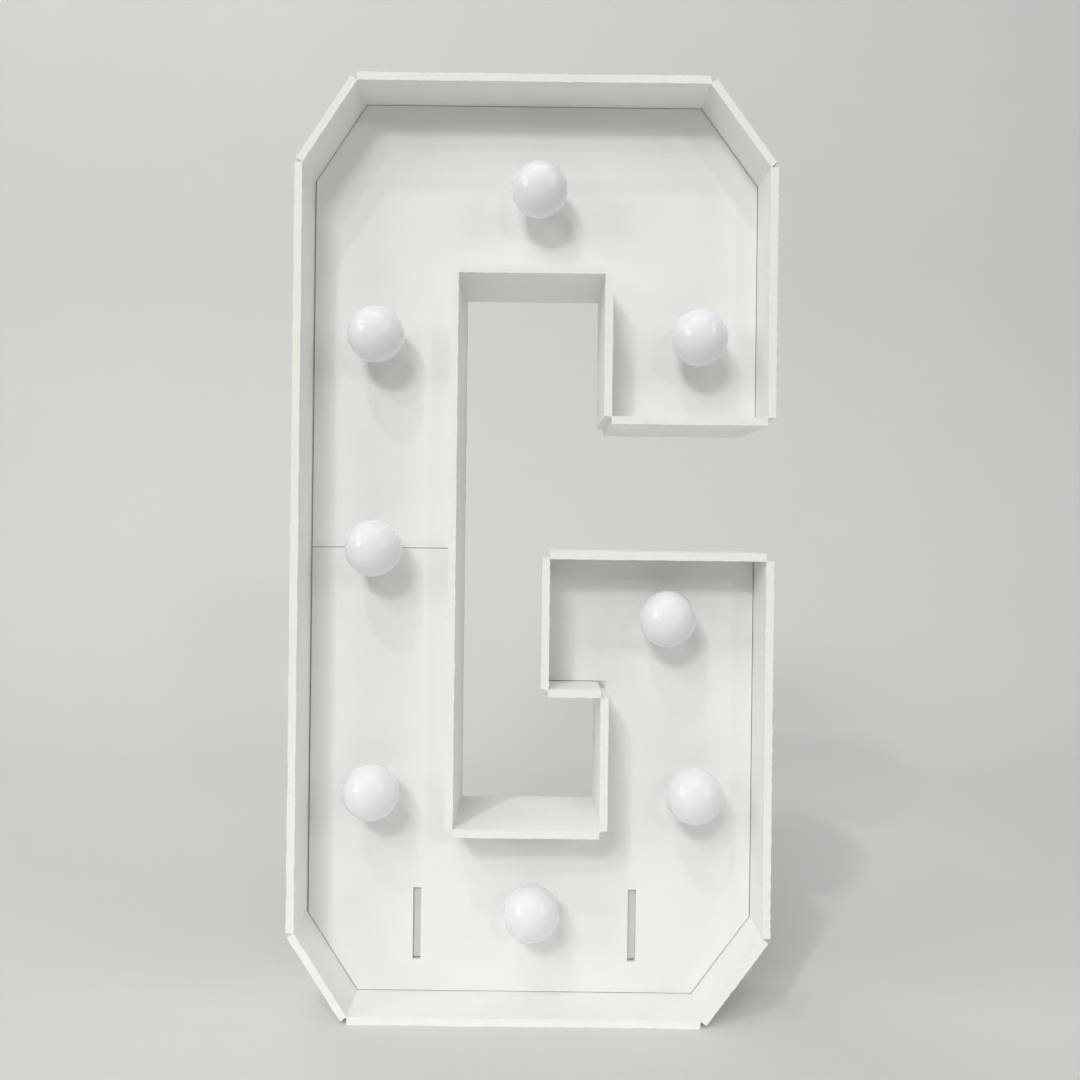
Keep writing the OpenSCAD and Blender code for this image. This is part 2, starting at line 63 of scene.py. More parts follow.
# Sizes in metres that the solids don't give
MM = 0.001
BOARD_T = 5 * MM
LAMP_NUMBERS = range(1, 9)
X, Y, Z = range(3)

# What counts as one point, one place, one length, a face along an axis, a flat and a soft fold
MERGE = 0.002 * MM
SAME_PLACE = 0.01 * MM
SAME_LENGTH = 0.006 * MM
FACING = 0.9
FLAT_FOLD = math.radians(1)
SMOOTH_BELOW = math.radians(35)

# The letter stands between its walls' front and back edges
walls_low, walls_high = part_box("wall_strip_left")
FRONT_Y, BACK_Y = walls_low.y, walls_high.y
LETTER_D = BACK_Y - FRONT_Y


# Working by hand: selecting, editing and finishing
def deselect():
    bpy.ops.object.select_all(action="DESELECT")


def work_on(piece):
    deselect()
    piece.select_set(True)
    bpy.context.view_layer.objects.active = piece


def edit():
    bpy.ops.object.mode_set(mode="EDIT")


def leave():
    bpy.ops.object.mode_set(mode="OBJECT")


def pick_faces(piece, wanted):
    """Selects the faces that pass a test and stays in edit mode."""
    edit()
    bpy.ops.mesh.select_mode(type="FACE")
    bpy.ops.mesh.select_all(action="DESELECT")
    leave()
    for face in piece.data.polygons:
        face.select = bool(wanted(face))
    edit()


def pick_edges(piece, wanted):
    """Selects the edges whose two end points pass a test and stays in edit mode."""
    edit()
    bpy.ops.mesh.select_mode(type="EDGE")
    bpy.ops.mesh.select_all(action="DESELECT")
    leave()
    points = piece.data.vertices
    for line in piece.data.edges:
        a, b = (points[k].co for k in line.vertices)
        line.select = bool(wanted(a, b))
    edit()


def settle(piece, name):
    """Puts a piece's place into its mesh, merges it and turns its faces outwards."""
    work_on(piece)
    bpy.ops.object.transform_apply(location=True, rotation=True, scale=True)
    edit()
    bpy.ops.mesh.select_all(action="SELECT")
    bpy.ops.mesh.remove_doubles(threshold=MERGE)
    bpy.ops.mesh.normals_make_consistent(inside=False)
    leave()
    piece.name = name
    piece.data.name = name
    return piece


def smooth(piece):
    work_on(piece)
    bpy.ops.object.shade_smooth_by_angle(angle=SMOOTH_BELOW)


def apply_modifier(piece, kind, **settings):
    work_on(piece)
    bpy.ops.object.modifier_add(type=kind)
    modifier = piece.modifiers[-1]
    for key, value in settings.items():
        setattr(modifier, key, value)
    bpy.ops.object.modifier_apply(modifier=modifier.name)


def soften(piece, width, segments=2):
    """Rounds a piece's sharp edges."""
    apply_modifier(
        piece,
        "BEVEL",
        width=width,
        segments=segments,
        limit_method="ANGLE",
        angle_limit=SMOOTH_BELOW,
    )
    smooth(piece)


def united(pieces, name):
    """One closed skin round pieces that overlap."""
    whole = pieces[0]
    for piece in pieces[1:]:
        apply_modifier(
            whole,
            "BOOLEAN",
            operation="UNION",
            object=piece,
            solver="EXACT",
            material_mode="TRANSFER",
        )
        work_on(piece)
        bpy.ops.object.delete()
    settle(whole, name)
    smooth(whole)
    return whole


def copied(piece, name, shift):
    """Copy of a finished piece, with its own mesh, moved by a vector."""
    work_on(piece)
    bpy.ops.object.duplicate()
    twin = bpy.context.object
    bpy.ops.transform.translate(value=shift)
    bpy.ops.object.transform_apply(location=True, rotation=True, scale=True)
    twin.name = name
    twin.data.name = name
    return twin


def copy_of_solid(node, name):
    """Merged copy of a solid, with its flat faces whole again."""
    work_on(frame["nodes"][node])
    bpy.ops.object.duplicate()
    piece = bpy.context.object
    bpy.ops.object.parent_clear(type="CLEAR")
    for key in list(piece.keys()):
        del piece[key]
    bpy.ops.mesh.customdata_custom_splitnormals_clear()
    edit()
    bpy.ops.mesh.select_all(action="SELECT")
    bpy.ops.mesh.remove_doubles(threshold=MERGE)
    bpy.ops.mesh.dissolve_limited(angle_limit=FLAT_FOLD)
    leave()
    piece.data.materials.clear()
    piece.name = name
    piece.data.name = name
    return piece


def hand_over(piece, body, slot, *nodes):
    """The piece rides on a body and stands for its solids, which are hidden; its slot is not used.
    """
    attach(piece, body)
    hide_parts(*nodes)


# Shader nodes; a colour mix keeps its factor, its two colours and its result at these places
MIX_FACTOR, MIX_A, MIX_B, MIX_RESULT = 0, 6, 7, 2


def add_node(tree, kind, **settings):
    made = tree.nodes.new(kind)
    for key, value in settings.items():
        setattr(made, key, value)
    return made


def link(tree, source, target):
    tree.links.new(source, target)


def give(tree, socket, value):
    """Sets a socket to a number or a colour, or links another socket to it."""
    if isinstance(value, (int, float, tuple)):
        socket.default_value = value
    else:
        link(tree, value, socket)


def start_group(name, inputs, outputs):
    """Empty node group with named sockets:
    inputs as (name, kind, default), outputs as (name, kind)."""
    tree = bpy.data.node_groups.new(name, "ShaderNodeTree")
    for socket, kind, default in inputs:
        made = tree.interface.new_socket(socket, in_out="INPUT", socket_type=kind)
        if default is not None:
            made.default_value = default
    for socket, kind in outputs:
        tree.interface.new_socket(socket, in_out="OUTPUT", socket_type=kind)
    return tree, add_node(tree, "NodeGroupInput"), add_node(tree, "NodeGroupOutput")


def noise(tree, vector, scale, detail, roughness):
    made = add_node(tree, "ShaderNodeTexNoise")
    made.inputs["Detail"].default_value = detail
    made.inputs["Roughness"].default_value = roughness
    link(tree, vector, made.inputs["Vector"])
    link(tree, scale, made.inputs["Scale"])
    return made.outputs["Fac"]


def math_node(tree, operation, a, b):
    made = add_node(tree, "ShaderNodeMath", operation=operation)
    for socket, value in zip(made.inputs, (a, b)):
        give(tree, socket, value)
    return made.outputs[0]


def ranged(tree, value, low, high, to_low, to_high):
    made = add_node(tree, "ShaderNodeMapRange")
    link(tree, value, made.inputs["Value"])
    for socket, limit in (
        ("From Min", low),
        ("From Max", high),
        ("To Min", to_low),
        ("To Max", to_high),
    ):
        give(tree, made.inputs[socket], limit)
    return made.outputs["Result"]


def mixed_colour(tree, factor, a, b):
    made = add_node(tree, "ShaderNodeMix", data_type="RGBA")
    for place, value in ((MIX_FACTOR, factor), (MIX_A, a), (MIX_B, b)):
        give(tree, made.inputs[place], value)
    return made.outputs[MIX_RESULT]


def mottle_group():
    """Slow drift of tone over a surface, and the value that it follows."""
    tree, given, out = start_group(
        "soft_mottle",
        [
            ("Vector", "NodeSocketVector", None),
            ("Color", "NodeSocketColor", (0.8, 0.8, 0.8, 1)),
            ("Shade", "NodeSocketColor", (0.7, 0.7, 0.7, 1)),
            ("Scale", "NodeSocketFloat", 20.0),
            ("Amount", "NodeSocketFloat", 0.3),
        ],
        [("Color", "NodeSocketColor"), ("Value", "NodeSocketFloat")],
    )
    source = given.outputs
    broad = noise(tree, source["Vector"], source["Scale"], detail=4.0, roughness=0.6)
    spread = ranged(tree, broad, 0.35, 0.7, 0.0, source["Amount"])
    tone = mixed_colour(tree, spread, source["Color"], source["Shade"])
    link(tree, tone, out.inputs["Color"])
    link(tree, broad, out.inputs["Value"])
    return tree


def grain_group():
    """Fine moulded or pressed grain as a height."""
    tree, given, out = start_group(
        "fine_grain",
        [("Vector", "NodeSocketVector", None), ("Scale", "NodeSocketFloat", 2000.0)],
        [("Height", "NodeSocketFloat")],
    )
    source = given.outputs
    height = noise(tree, source["Vector"], source["Scale"], detail=2.0, roughness=0.5)
    link(tree, height, out.inputs["Height"])
    return tree


SMEAR_FINENESS = 7.0


def handling_group():
    """Smudges and rubbed patches from handling, as a mask."""
    tree, given, out = start_group(
        "handling_marks",
        [
            ("Vector", "NodeSocketVector", None),
            ("Scale", "NodeSocketFloat", 12.0),
            ("Amount", "NodeSocketFloat", 0.5),
        ],
        [("Mask", "NodeSocketFloat")],
    )
    source = given.outputs
    patches = noise(tree, source["Vector"], source["Scale"], detail=5.0, roughness=0.65)
    smear_scale = math_node(tree, "MULTIPLY", source["Scale"], SMEAR_FINENESS)
    smears = noise(tree, source["Vector"], smear_scale, detail=3.0, roughness=0.55)
    both = math_node(tree, "MULTIPLY", ranged(tree, patches, 0.5, 0.72, 0.0, 1.0), smears)
    link(tree, math_node(tree, "MULTIPLY", both, source["Amount"]), out.inputs["Mask"])
    return tree


def beads_group():
    """Cut foam: pressed-together beads, as a height and a mask of the lines between them."""
    tree, given, out = start_group(
        "foam_beads",
        [("Vector", "NodeSocketVector", None), ("Scale", "NodeSocketFloat", 600.0)],
        [("Height", "NodeSocketFloat"), ("Seams", "NodeSocketFloat")],
    )
    cells = add_node(tree, "ShaderNodeTexVoronoi", feature="DISTANCE_TO_EDGE")
    link(tree, given.outputs["Vector"], cells.inputs["Vector"])
    link(tree, given.outputs["Scale"], cells.inputs["Scale"])
    distance = cells.outputs["Distance"]
    link(tree, ranged(tree, distance, 0.0, 0.35, 0.0, 1.0), out.inputs["Height"])
    link(tree, ranged(tree, distance, 0.0, 0.12, 1.0, 0.0), out.inputs["Seams"])
    return tree


MOTTLE, GRAIN, HANDLING, BEADS = mottle_group(), grain_group(), handling_group(), beads_group()


class Finish:
    """A material under construction: its shader, its Object coordinates and its groups."""

    def __init__(self, name, **constants):
        self.material = bpy.data.materials.new(name)
        self.material.use_nodes = True
        self.tree = self.material.node_tree
        self.shader = self.tree.nodes["Principled BSDF"]
        self.place = add_node(self.tree, "ShaderNodeTexCoord").outputs["Object"]
        for socket, value in constants.items():
            self.shader.inputs[socket.replace("_", " ")].default_value = value

    def group(self, group, **values):
        made = add_node(self.tree, "ShaderNodeGroup", node_tree=group)
        link(self.tree, self.place, made.inputs["Vector"])
        for socket, value in values.items():
            made.inputs[socket].default_value = value
        return made.outputs

    def feed(self, socket, source):
        link(self.tree, source, self.shader.inputs[socket])

    def bump(self, height, distance, under=None):
        made = add_node(self.tree, "ShaderNodeBump")
        made.inputs["Distance"].default_value = distance
        link(self.tree, height, made.inputs["Height"])
        if under is not None:
            link(self.tree, under, made.inputs["Normal"])
        return made.outputs["Normal"]


def board_face_finish():
    """Satin white skin of the foam board: nearly even, with faint handling marks and slow waves."""
    made = Finish("board_face", IOR=1.45)
    tone = made.group(
        MOTTLE,
        Color=(0.875, 0.873, 0.862, 1),
        Shade=(0.845, 0.845, 0.835, 1),
        Scale=9.0,
        Amount=0.8,
    )
    marks = made.group(HANDLING, Scale=16.0, Amount=0.5)["Mask"]
    marked = mixed_colour(made.tree, marks, tone["Color"], (0.80, 0.797, 0.78, 1))
    made.feed("Base Color", marked)
    made.feed("Roughness", ranged(made.tree, marks, 0.0, 0.5, 0.52, 0.62))
    grain = made.bump(made.group(GRAIN, Scale=1400.0)["Height"], 0.02 * MM)
    waves = made.group(GRAIN, Scale=55.0)["Height"]
    made.feed("Normal", made.bump(waves, 0.25 * MM, under=grain))
    return made.material


def foam_core_finish(name, colour, shade):
    """Cut edge of the board: foam with pressed beads."""
    made = Finish(name, IOR=1.40)
    tone = made.group(MOTTLE, Color=colour, Shade=shade, Scale=60.0, Amount=0.8)
    beads = made.group(BEADS, Scale=420.0)
    made.feed("Base Color", mixed_colour(made.tree, beads["Seams"], tone["Color"], shade))
    made.feed("Roughness", ranged(made.tree, beads["Height"], 0.0, 1.0, 0.78, 0.6))
    fine = made.bump(made.group(GRAIN, Scale=2600.0)["Height"], 0.02 * MM)
    made.feed("Normal", made.bump(beads["Height"], 0.05 * MM, under=fine))
    return made.material


def opal_finish():
    """Milky gloss of the globes, with a faint orange peel."""
    made = Finish(
        "opal_gloss",
        IOR=1.49,
        Specular_IOR_Level=0.5,
        Subsurface_Weight=0.5,
        Subsurface_Radius=(1.0, 1.0, 0.95),
        Subsurface_Scale=1.2 * MM,
    )
    tone = made.group(
        MOTTLE,
        Color=(0.85, 0.855, 0.87, 1),
        Shade=(0.832, 0.839, 0.857, 1),
        Scale=45.0,
        Amount=0.7,
    )
    made.feed("Base Color", tone["Color"])
    made.feed("Roughness", ranged(made.tree, tone["Value"], 0.3, 0.7, 0.08, 0.12))
    made.feed("Normal", made.bump(made.group(GRAIN, Scale=420.0)["Height"], 0.02 * MM))
    return made.material


RUBBED_SMOOTHER = 0.12


def moulded_finish(name, colour, shade, rough, grain_scale, grain_depth):
    """Moulded plastic with a fine grain and a few rubbed patches."""
    made = Finish(name, IOR=1.46)
    tone = made.group(MOTTLE, Color=colour, Shade=shade, Scale=70.0, Amount=0.7)
    marks = made.group(HANDLING, Scale=60.0, Amount=0.8)["Mask"]
    made.feed("Base Color", mixed_colour(made.tree, marks, tone["Color"], shade))
    made.feed("Roughness", ranged(made.tree, marks, 0.0, 0.6, rough, rough - RUBBED_SMOOTHER))
    made.feed("Normal", made.bump(made.group(GRAIN, Scale=grain_scale)["Height"], grain_depth))
    return made.material


def plated_finish():
    """Rolled plated metal of the screw caps and contacts, with dull patches and a fine grain."""
    made = Finish("plated_metal", Metallic=1.0)
    tone = made.group(
        MOTTLE,
        Color=(0.70, 0.69, 0.66, 1),
        Shade=(0.52, 0.50, 0.46, 1),
        Scale=160.0,
        Amount=0.8,
    )
    marks = made.group(HANDLING, Scale=120.0, Amount=0.9)["Mask"]
    made.feed("Base Color", tone["Color"])
    made.feed("Roughness", ranged(made.tree, marks, 0.0, 0.7, 0.22, 0.45))
    made.feed("Normal", made.bump(made.group(GRAIN, Scale=2400.0)["Height"], 0.01 * MM))
    return made.material


FACE = board_face_finish()
CORE = foam_core_finish("foam_core", (0.885, 0.88, 0.85, 1), (0.845, 0.837, 0.797, 1))
# Painted shade: the feet's cut edges are a darker grey foam, standing in for the shade inside the
# panel's slots where the feet's tabs sit recessed.
FOOT_CORE_PAINTED_SHADE = foam_core_finish("foot_core", (0.68, 0.68, 0.67, 1), (0.63, 0.628, 0.615, 1))
OPAL = opal_finish()
LAMP_PLASTIC = moulded_finish(
    "lamp_plastic",
    colour=(0.83, 0.83, 0.825, 1),
    shade=(0.76, 0.76, 0.75, 1),
    rough=0.34,
    grain_scale=900.0,
    grain_depth=0.01 * MM,
)
SEAL_RUBBER = moulded_finish(
    "seal_rubber",
    colour=(0.74, 0.74, 0.725, 1),
    shade=(0.64, 0.64, 0.62, 1),
    rough=0.55,
    grain_scale=700.0,
    grain_depth=0.02 * MM,
)
HOLDER_PLASTIC = moulded_finish(
    "holder_plastic",
    colour=(0.80, 0.80, 0.785, 1),
    shade=(0.73, 0.73, 0.71, 1),
    rough=0.42,
    grain_scale=1500.0,
    grain_depth=0.02 * MM,
)
BOX_PLASTIC = moulded_finish(
    "box_plastic",
    colour=(0.77, 0.77, 0.76, 1),
    shade=(0.70, 0.70, 0.685, 1),
    rough=0.48,
    grain_scale=1300.0,
    grain_depth=0.05 * MM,
)
SWITCH_PLASTIC = moulded_finish(
    "switch_plastic",
    colour=(0.028, 0.028, 0.03, 1),
    shade=(0.05, 0.05, 0.05, 1),
    rough=0.45,
    grain_scale=1600.0,
    grain_depth=0.03 * MM,
)
TAPE_FOAM = moulded_finish(
    "tape_foam",
    colour=(0.62, 0.62, 0.61, 1),
    shade=(0.52, 0.52, 0.51, 1),
    rough=0.85,
    grain_scale=900.0,
    grain_depth=0.12 * MM,
)
CELL_JACKET = moulded_finish(
    "cell_jacket",
    colour=(0.045, 0.05, 0.06, 1),
    shade=(0.07, 0.075, 0.085, 1),
    rough=0.3,
    grain_scale=500.0,
    grain_depth=0.01 * MM,
)
LIGHT_SOURCE = moulded_finish(
    "light_source",
    colour=(0.80, 0.74, 0.42, 1),
    shade=(0.84, 0.83, 0.78, 1),
    rough=0.5,
    grain_scale=900.0,
    grain_depth=0.02 * MM,
)
PLATED = plated_finish()


# Boards: foam beads stand out along the cut arrises of walls and feet
BEAD_SIZE = 1.8 * MM
BEAD_STEP = 0.5 * MM
WALL_BEAD_DEPTH = 0.8 * MM
FOOT_BEAD_DEPTH = 0.4 * WALL_BEAD_DEPTH
CRUSHED = 1.2 * MM
CUT_ARRIS = "cut_arris"

# A strip's ends and notches have cut faces smaller than this, and its skins are larger
STRIP_END_AREA = LETTER_D * BOARD_T * 1.2

# The panel's broken arrises and the lean of its seam's cut
PANEL_ARRIS = 0.2 * MM
SEAM_LEAN = 0.2 * MM


def in_plane(axis, levels, point):
    return any(abs(point[axis] - level) < SAME_PLACE for level in levels)


def faces_along(axis, face):
    return abs(face.normal[axis]) > FACING


def level_with(axis, a, b):
    return abs(a[axis] - b[axis]) < SAME_PLACE


def bead_texture():
    made = bpy.data.textures.new("cut_beads", "VORONOI")
    made.noise_scale = BEAD_SIZE
    return made


BEAD_TEXTURE = bead_texture()


def two_finishes(piece, is_core, core=CORE):
    """Board faces get the satin skin, and cut faces the foam."""
    piece.data.materials.append(FACE)
    piece.data.materials.append(core)
    for face in piece.data.polygons:
        face.material_index = 1 if is_core(face) else 0


def divide_arrises(piece, axis):
    """Cuts the edges that run along a board's arrises into steps much shorter than a bead."""
    points = piece.data.vertices
    cuts_of = {}
    for line in piece.data.edges:
        a, b = (points[k].co for k in line.vertices)
        if level_with(axis, a, b):
            length = round((a - b).length / MM, 2)
            cuts_of[length] = round(length * MM / BEAD_STEP) - 1
    for length, cuts in cuts_of.items():
        if cuts > 0:
            pick_edges(
                piece,
                lambda a, b: level_with(axis, a, b)
                and abs((a - b).length - length * MM) < SAME_LENGTH,
            )
            bpy.ops.mesh.subdivide(number_cuts=cuts)
            leave()


def serrate(piece, axis, levels, depth):
    """Lets a board's cut arrises stand out and in, bead by bead, within a narrow crushed band.
    The two caps between the arrises come off first, and are filled again at the end."""
    work_on(piece)
    cap_finish = next(
        face.material_index for face in piece.data.polygons if faces_along(axis, face)
    )
    pick_faces(piece, lambda face: faces_along(axis, face))
    bpy.ops.mesh.delete(type="ONLY_FACE")
    across = Vector([1.0 if k == axis else 0.0 for k in range(3)])
    for depth_in in (levels[0] + CRUSHED, levels[1] - CRUSHED):
        bpy.ops.mesh.select_all(action="SELECT")
        bpy.ops.mesh.bisect(plane_co=across * depth_in, plane_no=across)
    leave()
    divide_arrises(piece, axis)
    arris = piece.vertex_groups.new(name=CUT_ARRIS)
    on_arris = [point.index for point in piece.data.vertices if in_plane(axis, levels, point.co)]
    arris.add(on_arris, 1.0, "REPLACE")
    apply_modifier(
        piece,
        "DISPLACE",
        texture=BEAD_TEXTURE,
        texture_coords="LOCAL",
        strength=depth,
        mid_level=0.5,
        vertex_group=CUT_ARRIS,
    )
    piece.vertex_groups.clear()
    for level in levels:
        pick_edges(
            piece, lambda a, b: in_plane(axis, (level,), a) and in_plane(axis, (level,), b)
        )
        bpy.ops.mesh.edge_face_add()
        leave()
    edit()
    bpy.ops.mesh.select_all(action="SELECT")
    bpy.ops.mesh.normals_make_consistent(inside=False)
    leave()
    for face in piece.data.polygons:
        if faces_along(axis, face):
            face.material_index = cap_finish
    bpy.ops.object.shade_flat()


def wall_board(node, name):
    """Folded strip, cut in front, behind and at its ends."""
    piece = copy_of_solid(node, name)
    two_finishes(piece, lambda face: faces_along(Y, face) or face.area < STRIP_END_AREA)
    serrate(piece, Y, (FRONT_Y, BACK_Y), WALL_BEAD_DEPTH)
    hand_over(piece, "letter", "board", node)


def foot_board(node, name, body):
    """Rear foot, cut all round its outline."""
    piece = copy_of_solid(node, name)
    low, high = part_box(node)
    # The cut faces take the darker foot foam, a painted shade for the recess of the panel's slots.
    two_finishes(piece, lambda face: not faces_along(X, face), FOOT_CORE_PAINTED_SHADE)
    serrate(piece, X, (low.x, high.x), FOOT_BEAD_DEPTH)
    hand_over(piece, body, "board", node)


def panel_board(node, name, seam_z, lean):
    """Half of the back panel: its seam's cut leans open to the front,
    and its arrises are a little broken."""
    piece = copy_of_solid(node, name)
    low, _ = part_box(node)

    def on_front_of_seam(point):
        return in_plane(Y, (low.y,), point) and in_plane(Z, (seam_z,), point)

    two_finishes(piece, lambda face: not faces_along(Y, face))
    pick_edges(piece, lambda a, b: on_front_of_seam(a) and on_front_of_seam(b))
    bpy.ops.transform.translate(value=(0, 0, lean))
    leave()
    soften(piece, PANEL_ARRIS, segments=1)
    hand_over(piece, "letter", "board", node)


upper_low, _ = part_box("back_panel_upper")
_, lower_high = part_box("back_panel_lower")
panel_board("back_panel_upper", "upper_panel_board", upper_low.z, SEAM_LEAN)
panel_board("back_panel_lower", "lower_panel_board", lower_high.z, -SEAM_LEAN)
for side in ("left", "top", "arm", "counter", "bar", "base"):
    wall_board(f"wall_strip_{side}", f"{side}_wall_board")
for side in ("left", "right"):
    foot_board(f"stand_foot_{side}", f"{side}_foot_board", f"foot_{side}")


# Lamps, modelled once at the first lamp and copied to the others
ROUND_SIDES = 64
BALL_RINGS = 48
FACE_ON = (math.pi / 2, 0, 0)
SIDE_ON = (0, math.pi / 2, 0)
BROKEN_EDGE = 0.4 * MM
FINE_EDGE = 0.3 * MM


def lamp_axis(number):
    low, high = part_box(f"globe_{number}")
    return Vector(((low.x + high.x) / 2, 0, (low.z + high.z) / 2))


FIRST = lamp_axis(1)
globe_low, globe_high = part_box("globe_1")
base_low, base_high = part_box("bulb_base_1")
seal_low, seal_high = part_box("seal_ring_1")
holder_low, holder_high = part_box("lamp_holder_1")
GLOBE_R = (globe_high.x - globe_low.x) / 2
NECK_R = (base_high.x - base_low.x) / 2
SEAL_R = (seal_high.x - seal_low.x) / 2

GLOBE_WALL = 1 * MM
SKIRT_H = 0.8 * MM


def turned(name, stations):
    """Round piece on the lamp's axis, drawn out ring by ring: stations are (y, radius)."""
    y, radius = stations[0]
    deselect()
    bpy.ops.mesh.primitive_circle_add(
        vertices=ROUND_SIDES,
        radius=radius,
        fill_type="NGON",
        location=(FIRST.x, y, FIRST.z),
        rotation=FACE_ON,
    )
    piece = bpy.context.object
    edit()
    bpy.ops.mesh.select_all(action="SELECT")
    for next_y, next_radius in stations[1:]:
        bpy.ops.mesh.extrude_region_move(TRANSFORM_OT_translate={"value": (0, next_y - y, 0)})
        ratio = next_radius / radius
        bpy.ops.transform.resize(
            value=(ratio, 1, ratio), center_override=(FIRST.x, next_y, FIRST.z)
        )
        y, radius = next_y, next_radius
    leave()
    return settle(piece, name)


def globe_piece(name):
    """Opal ball, opened at the back, with a short skirt and a real wall."""
    deselect()
    bpy.ops.mesh.primitive_uv_sphere_add(
        segments=ROUND_SIDES,
        ring_count=BALL_RINGS,
        radius=GLOBE_R,
        location=(FIRST.x, globe_low.y + GLOBE_R, FIRST.z),
        rotation=FACE_ON,
    )
    piece = bpy.context.object
    edit()
    bpy.ops.mesh.select_all(action="SELECT")
    bpy.ops.mesh.bisect(
        plane_co=(0, globe_high.y - SKIRT_H, 0),
        plane_no=(0, 1, 0),
        clear_outer=True,
        use_fill=False,
    )
    bpy.ops.mesh.select_all(action="DESELECT")
    bpy.ops.mesh.select_non_manifold()
    bpy.ops.mesh.extrude_region_move(TRANSFORM_OT_translate={"value": (0, SKIRT_H, 0)})
    leave()
    settle(piece, name)
    apply_modifier(piece, "SOLIDIFY", thickness=GLOBE_WALL, offset=-1)
    smooth(piece)
    piece.data.materials.append(OPAL)
    return piece


# Screw cap: the solid's radius, and the rolled thread's size, place and play inside it
CAP_R = 5.95 * MM
THREAD_PLAY = 0.1 * MM
THREAD_PITCH = 2.54 * MM
THREAD_R = 0.55 * MM
THREAD_TURNS = 5
THREAD_STEPS = 32
THREAD_SIDES = 8
THREAD_START = 1.2 * MM
CREST_R = CAP_R - THREAD_PLAY
ROOT_R = CREST_R - THREAD_R


def thread_ridge(name, radius, start_y):
    """Rolled screw thread: a small round section wound along the cap."""
    deselect()
    bpy.ops.mesh.primitive_circle_add(
        vertices=THREAD_SIDES,
        radius=THREAD_R,
        fill_type="NOTHING",
        location=(0, 0, radius),
        rotation=SIDE_ON,
    )
    piece = bpy.context.object
    bpy.ops.object.transform_apply(location=True, rotation=True, scale=True)
    apply_modifier(
        piece,
        "SCREW",
        axis="Y",
        angle=2 * math.pi,
        screw_offset=THREAD_PITCH,
        iterations=THREAD_TURNS,
        steps=THREAD_STEPS,
        render_steps=THREAD_STEPS,
    )
    edit()
    bpy.ops.mesh.select_all(action="DESELECT")
    bpy.ops.mesh.select_non_manifold()
    bpy.ops.mesh.edge_face_add()
    leave()
    bpy.ops.transform.translate(value=(FIRST.x, start_y, FIRST.z))
    return settle(piece, name)


# Neck: its ledge inside the globe's skirt, and a groove from one depth to another
LEDGE_R = NECK_R - 3 * MM
GROOVE_FROM, GROOVE_FLOOR_FROM = 2.6 * MM, 2.9 * MM
GROOVE_FLOOR_TO, GROOVE_TO = 3.5 * MM, 3.8 * MM
GROOVE_R = NECK_R - 0.35 * MM
NECK_END_GAP = 0.2 * MM

# Cap: how far it reaches into the neck, its shoulder, and the contact tip behind it
CAP_IN_NECK = 0.6 * MM
SHOULDER_FROM, SHOULDER_TO = 2 * MM, 0.8 * MM
SHOULDER_R = ROOT_R - 1.2 * MM
TIP_H = 1.5 * MM
CAP_END_R = 2.6 * MM
TIP_FOOT_R, TIP_R, TIP_END_R = 2.4 * MM, 2.2 * MM, 1.4 * MM


def bulb_base_piece(name):
    """White neck with a ledge for the globe, and a plated screw cap with its contact tip."""
    neck_front = globe_high.y
    neck_back = seal_low.y
    panel_y = seal_high.y
    cap_end = base_high.y - TIP_H
    neck = turned(
        "neck",
        [
            (neck_front, LEDGE_R),
            (neck_front, NECK_R - BROKEN_EDGE),
            (neck_front + BROKEN_EDGE, NECK_R),
            (neck_front + GROOVE_FROM, NECK_R),
            (neck_front + GROOVE_FLOOR_FROM, GROOVE_R),
            (neck_front + GROOVE_FLOOR_TO, GROOVE_R),
            (neck_front + GROOVE_TO, NECK_R),
            (neck_back - BROKEN_EDGE, NECK_R),
            (neck_back, NECK_R - BROKEN_EDGE),
            (neck_back, CREST_R),
            (panel_y - NECK_END_GAP, CREST_R),
        ],
    )
    neck.data.materials.append(LAMP_PLASTIC)
    cap = turned(
        "cap",
        [
            (panel_y - CAP_IN_NECK, ROOT_R),
            (panel_y, ROOT_R),
            (cap_end - SHOULDER_FROM, ROOT_R),
            (cap_end - SHOULDER_TO, SHOULDER_R),
            (cap_end, CAP_END_R),
            (cap_end, TIP_FOOT_R),
            (base_high.y - BROKEN_EDGE, TIP_R),
            (base_high.y, TIP_END_R),
        ],
    )
    ridge = thread_ridge("thread", ROOT_R, panel_y + THREAD_START)
    for piece in (cap, ridge):
        piece.data.materials.append(PLATED)
    return united([neck, cap, ridge], name)


# Seal ring: its bore round the cap, and its rounded edges
SEAL_BORE_R = CAP_R + 0.6 * MM
SEAL_ROUND = 0.35 * MM


def seal_piece(name):
    """Soft ring between the neck and the panel, with rounded edges."""
    deselect()
    bpy.ops.mesh.primitive_cylinder_add(
        vertices=ROUND_SIDES,
        radius=SEAL_R,
        depth=seal_high.y - seal_low.y,
        end_fill_type="NGON",
        location=(FIRST.x, (seal_low.y + seal_high.y) / 2, FIRST.z),
        rotation=FACE_ON,
    )
    piece = bpy.context.object
    settle(piece, name)
    pick_faces(piece, lambda face: faces_along(Y, face))
    bpy.ops.mesh.inset(thickness=SEAL_R - SEAL_BORE_R, use_individual=True)
    bpy.ops.mesh.bridge_edge_loops()
    leave()
    settle(piece, name)
    soften(piece, SEAL_ROUND, segments=3)
    piece.data.materials.append(SEAL_RUBBER)
    return piece


# Holder: bore and snout through the panel, flange behind it, body and dished end
HOLDER_BORE_R = CAP_R + 0.07 * MM
SNOUT_R = HOLDER_BORE_R + 1.3 * MM
SNOUT_L = 4.8 * MM
FLANGE_R = 13 * MM
FLANGE_SIDE, FLANGE_T = 1.5 * MM, 2.0 * MM
FLANGE_BEVEL = 0.5 * MM
BODY_R = 9.5 * MM
FILLET = 0.6 * MM
BODY_END_ROUND = 1.0 * MM
END_WALL = 3 * MM
BORE_END_R = 2.2 * MM
DISH_R, DISH_FLOOR_R, DISH_DEPTH = 3.4 * MM, 3.0 * MM, 0.6 * MM

